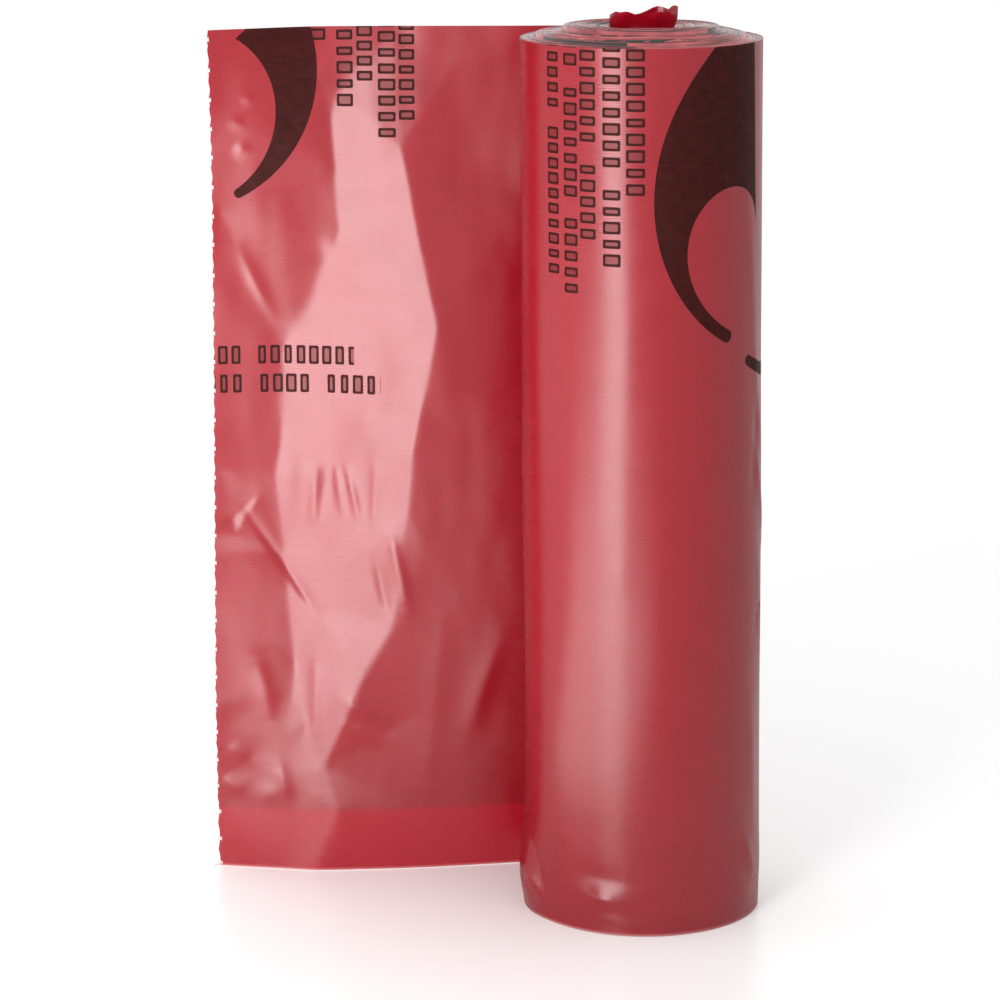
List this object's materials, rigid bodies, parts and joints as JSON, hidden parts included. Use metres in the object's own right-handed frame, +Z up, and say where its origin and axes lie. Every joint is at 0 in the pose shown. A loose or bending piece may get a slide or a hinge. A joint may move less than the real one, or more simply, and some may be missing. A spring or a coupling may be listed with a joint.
{
  "type": "biohazard waste bag roll",
  "caption": "Coreless upright roll of red biohazard waste bags in flat film, stepped at its ends, with the leading bag drawn off to a torn perforated edge.",
  "frame": {"origin": "middle of the whole object's footprint, on the floor that the roll stands on", "axes": "+Z up along the roll's axis, -X towards the torn end of the drawn-off bag, -Y towards the side that is looked at"},
  "size_m": [0.2414, 0.1046, 0.401],
  "materials": {
    "red_film": "translucent glossy film",
    "wound_film": "edges of glossy film turns"
  },
  "bodies": {
    "root": {"wound_bags": "wound_film", "leading_bag": "red_film", "inner_bag_end": "red_film"}
  },
  "joints": []
}
